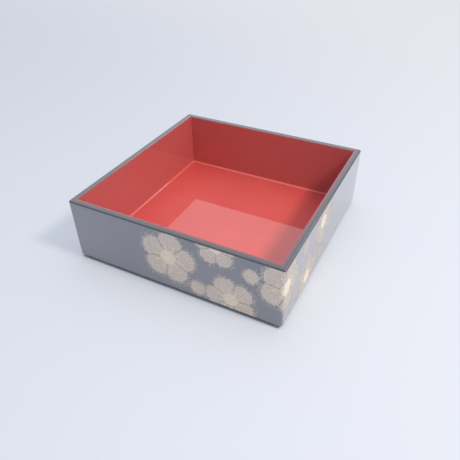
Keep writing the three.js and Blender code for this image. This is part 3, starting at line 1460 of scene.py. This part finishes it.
@dataclass
class Studio:
    """A pale table, a small soft lamp near the box on its right, a pale room and the camera.

    The room lights the box mostly from above, with a low fill from the front. What the lacquer's
    skin mirrors of it is pale at the back left and dimmer elsewhere, with a small bright window
    at the back. The eye sees it evenly pale.

    Places and reaches are in metres. A pair of numbers says where a fade starts and where it is
    full, in metres for the table and as a part of the direction's length for the room.
    """

    table_reach: float = 4.0
    table_near: str = "#dbe0e9"
    table_far: str = "#f3f3f4"
    table_fade: Span = (0.0, 1.1)
    table_slant: float = 0.25
    table_glow: float = 0.4
    table_roughness: float = 0.6
    table_sheen: float = 0.25
    glow_mm: Span = (96.5, 98.5)
    light_colour: str = "#e7ebf8"
    light_level: float = 0.18
    light_overhead: float = 2.06
    light_front: float = 0.5
    light_depth: Span = (-0.4, 0.3)
    fill_strength: float = 1.3
    fill_height: Span = (0.16, 0.05)
    fill_depth: Span = (0.0, -0.6)
    room_pale: str = "#f0f2f6"
    room_dim: str = "#a0a5b2"
    pale_depth: Span = (-0.5, 0.3)
    pale_left: Span = (0.3, 0.0)
    window_direction: Point3 = (0.22, 0.73, 0.65)
    window_edge_deg: Span = (9.0, 6.0)
    window_strength: float = 5.0
    lamp_place: Point3 = (0.635, -0.075, 0.817)
    lamp_size: float = 0.18
    lamp_power: float = 5.9
    lamp_colour: str = "#fff2e0"
    camera_place: Point3 = (0.17564, -0.32858, 0.28052)
    camera_turn_deg: Point3 = (52.600, 0.628, 27.167)
    focal_px: float = 477.28
    frame_px: float = 460.0
    sensor_mm: float = 36.0
    nearest_seen: float = 0.01

    @staticmethod
    def seen(tree: Tree) -> Socket:
        """Tell the rays by which the eye, a gloss or a glass sees from light itself.

        Args:
            tree: The node tree that gets the nodes.

        Returns:
            1 for the rays that see, and 0 for light.
        """
        path = add_node(tree, "ShaderNodeLightPath")
        seen = path["Is Camera Ray"]
        for kind in ("Is Glossy Ray", "Is Transmission Ray"):
            seen = add_node(tree, "ShaderNodeMath", [seen, path[kind]], operation="MAXIMUM")[0]
        return seen

    def build_table(self) -> None:
        """Build a wide matt table top, a little paler in the distance.

        Part of its paleness doesn't depend on the lamp, except right under the box.
        """
        mesh = bpy.data.meshes.new("table")
        r = self.table_reach
        mesh.from_pydata([(-r, -r, 0), (r, -r, 0), (r, r, 0), (-r, r, 0)], [], [(0, 1, 2, 3)])
        material, tree, place = new_material("white table top, matt")
        axes = add_node(tree, "ShaderNodeSeparateXYZ", [place])
        pair = [axes["X"], self.table_slant, axes["Y"]]
        along = add_node(tree, "ShaderNodeMath", pair, operation="MULTIPLY_ADD")[0]
        share = risen(tree, (along, self.table_fade))
        inputs = {0: share, 6: srgb(self.table_near), 7: srgb(self.table_far)}
        colour = add_node(tree, "ShaderNodeMix", inputs, data_type="RGBA")[2]
        inputs = {
            "Base Color": colour,
            "Roughness": self.table_roughness,
            "Specular IOR Level": self.table_sheen,
        }
        lit = add_node(tree, "ShaderNodeBsdfPrincipled", inputs)[0]
        glow = add_node(tree, "ShaderNodeEmission", [colour])[0]
        edges = [edge * MM for edge in self.glow_mm]
        beyond = risen(tree, (square_reach(tree, place), edges))
        pair = [beyond, self.seen(tree)]
        amount = add_node(tree, "ShaderNodeMath", pair, operation="MULTIPLY")[0]
        pair = [amount, self.table_glow]
        amount = add_node(tree, "ShaderNodeMath", pair, operation="MULTIPLY")[0]
        mixed = add_node(tree, "ShaderNodeMixShader", [amount, lit, glow])[0]
        add_node(tree, "ShaderNodeOutputMaterial", [mixed])
        link_mesh("table", mesh, material)

    def soft_light(self, tree: Tree, axes: Mapping) -> Socket:
        """The room's soft light: strong overhead, weaker at the front but for a low fill there.

        Args:
            tree: The room's tree.
            axes: The direction's x, y and z.

        Returns:
            The light.
        """
        raised = add_node(tree, "ShaderNodeMath", [axes["Z"], 0.0], operation="MAXIMUM")[0]
        squared = add_node(tree, "ShaderNodeMath", [raised, raised], operation="MULTIPLY")[0]
        inputs = {"Value": squared, "To Min": self.light_level, "To Max": self.light_overhead}
        height = add_node(tree, "ShaderNodeMapRange", inputs)[0]
        depth = risen(tree, (axes["Y"], self.light_depth))
        inputs = {"Value": depth, "To Min": self.light_front}
        depth = add_node(tree, "ShaderNodeMapRange", inputs)[0]
        above = add_node(tree, "ShaderNodeMath", [height, depth], operation="MULTIPLY")[0]
        fill = risen(tree, (axes["Z"], self.fill_height), (axes["Y"], self.fill_depth))
        inputs = [fill, self.fill_strength, above]
        strength = add_node(tree, "ShaderNodeMath", inputs, operation="MULTIPLY_ADD")[0]
        inputs = [srgb(self.light_colour), strength]
        return add_node(tree, "ShaderNodeBackground", inputs)[0]

    def mirrored_room(self, tree: Tree, way: Socket, axes: Mapping) -> Socket:
        """The room as the lacquer's skin mirrors it.

        Args:
            tree: The room's tree.
            way: The direction.
            axes: The direction's x, y and z.

        Returns:
            The room's colour as light.
        """
        pale = risen(tree, (axes["Y"], self.pale_depth), (axes["X"], self.pale_left))
        inputs = {0: pale, 6: srgb(self.room_dim), 7: srgb(self.room_pale)}
        colour = add_node(tree, "ShaderNodeMix", inputs, data_type="RGBA")[2]
        pair = [way, Vector(self.window_direction).normalized()]
        near = add_node(tree, "ShaderNodeVectorMath", pair, operation="DOT_PRODUCT")["Value"]
        edges = [math.cos(math.radians(angle)) for angle in self.window_edge_deg]
        inputs = [risen(tree, (near, edges)), self.window_strength, 1.0]
        strength = add_node(tree, "ShaderNodeMath", inputs, operation="MULTIPLY_ADD")[0]
        return add_node(tree, "ShaderNodeBackground", [colour, strength])[0]

    def build_room(self) -> None:
        """Build the light from above and the room that the eye and the gloss see."""
        world = bpy.data.worlds.new("pale room")
        world.use_nodes = True
        tree = world.node_tree
        tree.nodes.clear()
        way = add_node(tree, "ShaderNodeTexCoord")["Object"]
        axes = add_node(tree, "ShaderNodeSeparateXYZ", [way])
        light = self.soft_light(tree, axes)
        mirrored = self.mirrored_room(tree, way, axes)
        plain = add_node(tree, "ShaderNodeBackground", [srgb(self.room_pale)])[0]
        camera = add_node(tree, "ShaderNodeLightPath")["Is Camera Ray"]
        room = add_node(tree, "ShaderNodeMixShader", [camera, mirrored, plain])[0]
        mixed = add_node(tree, "ShaderNodeMixShader", [self.seen(tree), light, room])[0]
        add_node(tree, "ShaderNodeOutputWorld", [mixed])
        bpy.context.scene.world = world

    def build_lamp(self) -> None:
        """Build a small soft lamp that faces the box."""
        lamp = bpy.data.lights.new("soft lamp", "AREA")
        lamp.shape = "DISK"
        lamp.size = self.lamp_size
        lamp.energy = self.lamp_power
        lamp.color = srgb(self.lamp_colour)[:3]
        thing = bpy.data.objects.new("soft lamp", lamp)
        thing.location = self.lamp_place
        thing.rotation_euler = Vector(self.lamp_place).to_track_quat("Z", "Y").to_euler()
        bpy.context.scene.collection.objects.link(thing)

    def build_camera(self) -> None:
        """Build the camera, at the photograph's place and with its angle of view."""
        lens = bpy.data.cameras.new("camera")
        lens.sensor_width = self.sensor_mm
        lens.lens = self.focal_px / self.frame_px * self.sensor_mm
        lens.clip_start = self.nearest_seen
        thing = bpy.data.objects.new("camera", lens)
        thing.location = self.camera_place
        thing.rotation_euler = [math.radians(angle) for angle in self.camera_turn_deg]
        bpy.context.scene.collection.objects.link(thing)
        bpy.context.scene.camera = thing

    def build(self) -> None:
        """Set the whole studio up."""
        self.build_table()
        self.build_room()
        self.build_lamp()
        self.build_camera()
        bpy.context.scene.view_settings.view_transform = "Standard"
        log.info("studio set up")


def main() -> None:
    """Build the studio, the coats and the blossoms, and dress the core."""
    logging.basicConfig(level=logging.INFO, format="%(message)s")
    Studio().build()
    sizes = BoxSizes.from_solids()
    black = BLACK.material()
    wall_coat = WallCoat(sizes)
    wall_coat.build(black)
    FootCoat(sizes).build(black)
    LiningCoat(sizes).build(RED.material())
    blossoms = Blossoms(CornerWrap(sizes, wall_coat.corner_radius))
    powder = POWDER.material()
    blossoms.build_petals(powder)
    blossoms.build_dust(powder)
    blossoms.build_hearts(CREAM.material())
    WoodenCore(frame["nodes"]).dress()


if __name__ == "__main__":
    main()
